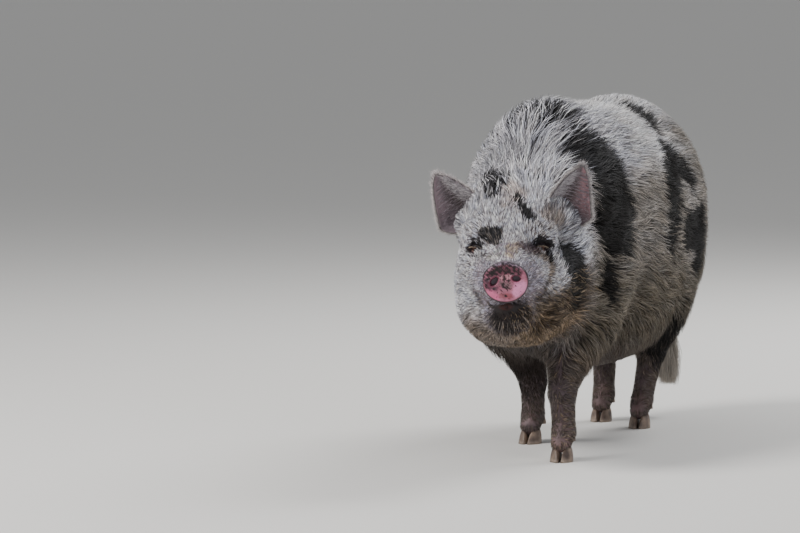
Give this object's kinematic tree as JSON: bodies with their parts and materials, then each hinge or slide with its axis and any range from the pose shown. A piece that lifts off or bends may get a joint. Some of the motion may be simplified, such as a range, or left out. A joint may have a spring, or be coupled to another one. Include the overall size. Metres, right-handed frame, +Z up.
{
  "type": "pig",
  "caption": "Short-legged round pig of a long-haired breed, standing mid stride with its head turned to the left.",
  "frame": {"origin": "on the floor, under the middle of the whole pig's bounding box", "axes": "+Z up, the body faces -Y, the pig's left side is +X"},
  "size_m": [0.3907, 1.1783, 0.7011],
  "materials": {
    "coat": "long bristly hair, silver grey with black patches",
    "head_coat": "hair over skin, silver grey with black patches",
    "leg_coat": "short thin hair over pinkish grey skin",
    "tail_hair": "pale hair",
    "ear_skin": "thin skin with short hair",
    "snout_skin": "moist pink skin with black freckles",
    "eye": "wet, dark brown",
    "claw": "dull horn"
  },
  "bodies": {
    "root": {"head": "head_coat", "snout": "snout_skin", "neck": "coat", "torso": "coat", "tail": "tail_hair", "leg_fore_left": "leg_coat", "leg_fore_right": "leg_coat", "leg_hind_left": "leg_coat", "leg_hind_right": "leg_coat", "ear_left": "ear_skin", "ear_right": "ear_skin", "eye_left": "eye", "eye_right": "eye", "claw_fore_left_inner": "claw", "dewclaw_fore_left_inner": "claw", "claw_fore_left_outer": "claw", "dewclaw_fore_left_outer": "claw", "claw_fore_right_inner": "claw", "dewclaw_fore_right_inner": "claw", "claw_fore_right_outer": "claw", "dewclaw_fore_right_outer": "claw", "claw_hind_left_inner": "claw", "dewclaw_hind_left_inner": "claw", "claw_hind_left_outer": "claw", "dewclaw_hind_left_outer": "claw", "claw_hind_right_inner": "claw", "dewclaw_hind_right_inner": "claw", "claw_hind_right_outer": "claw", "dewclaw_hind_right_outer": "claw"}
  },
  "joints": []
}
